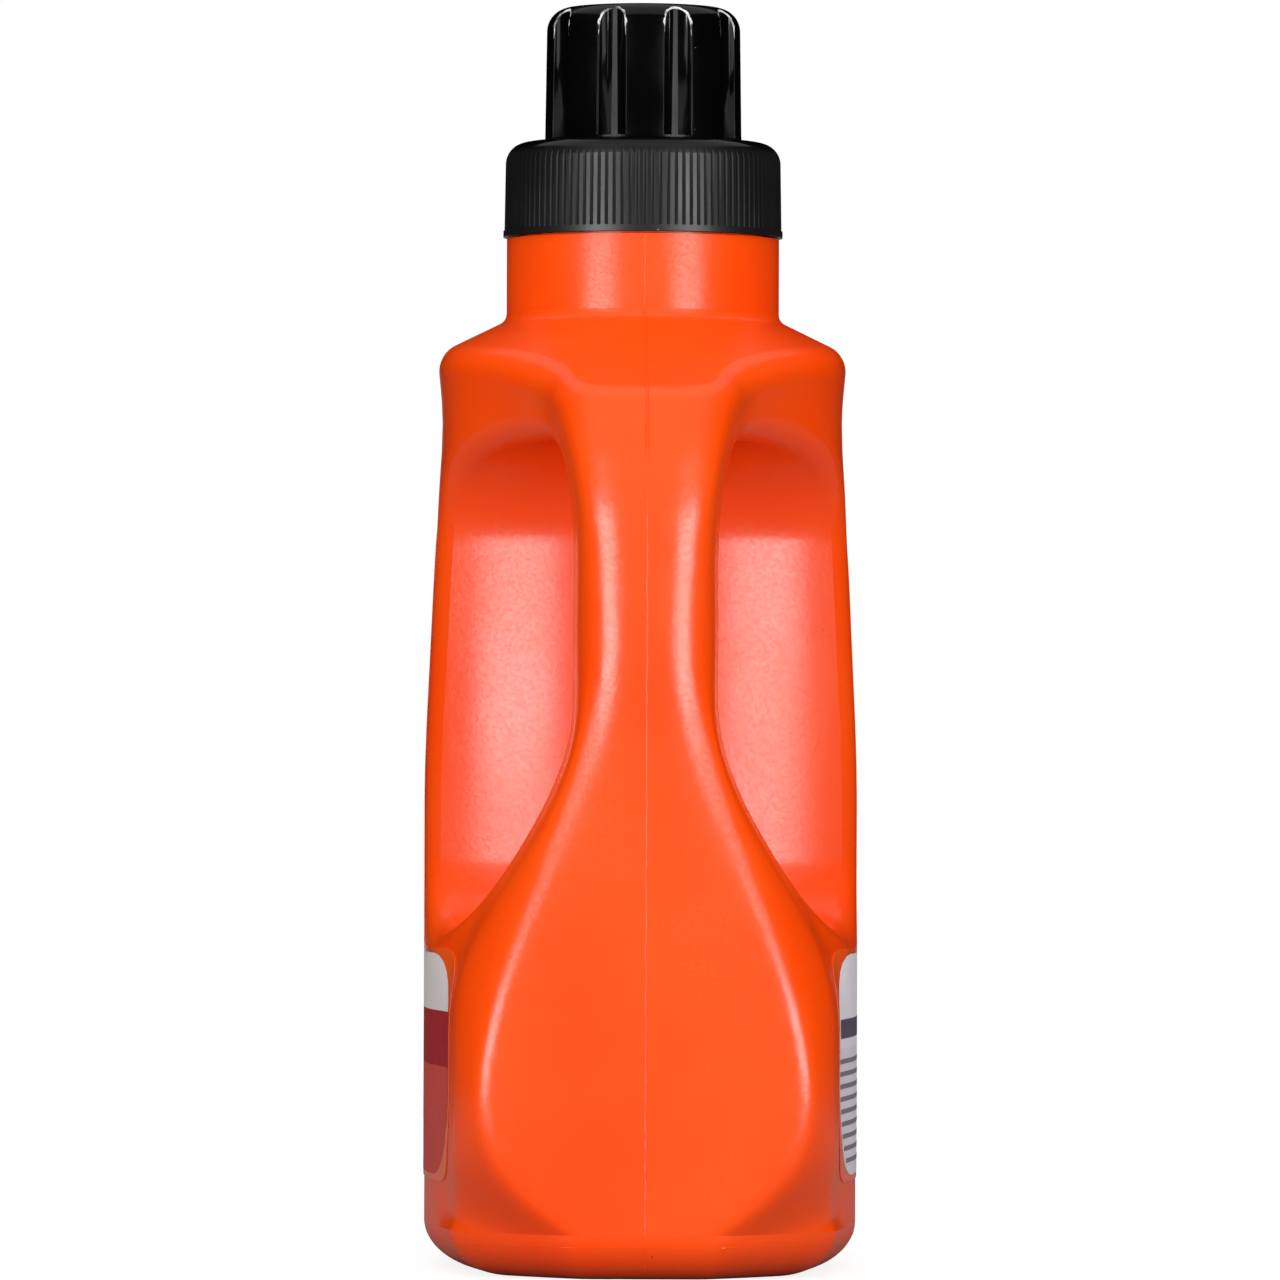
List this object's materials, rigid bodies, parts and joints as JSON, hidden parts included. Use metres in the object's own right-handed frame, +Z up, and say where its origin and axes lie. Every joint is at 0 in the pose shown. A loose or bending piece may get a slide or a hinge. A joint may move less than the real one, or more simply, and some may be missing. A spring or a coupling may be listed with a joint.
{
  "type": "laundry detergent bottle",
  "caption": "Blow-moulded detergent bottle with a through handle at its narrow end, a drain-back pour spout, a lift-off dosing cap and a label film on each broad side.",
  "frame": {"origin": "middle of the bottle's outline on the surface it stands on", "axes": "+Z up; Y along the bottle's length, with the handle at -Y and the pouring side at +Y; X through its thickness, with the front label at -X"},
  "size_m": [0.0918, 0.134, 0.2667],
  "materials": {
    "orange_plastic": "fine sand texture",
    "spout_plastic": "satin",
    "black_plastic": "gloss",
    "front_film": "gloss film",
    "back_film": "gloss film"
  },
  "bodies": {
    "bottle": {"bottle": "orange_plastic", "pour_spout": "spout_plastic", "front_label": "front_film", "back_label": "back_film"},
    "cap": {"dosing_cap": "black_plastic"}
  },
  "joints": [
    {"name": "cap_lift", "type": "slide", "parent": "bottle", "child": "cap", "axis": [0, 0, 1], "range_m": [0, 0.06]}
  ]
}
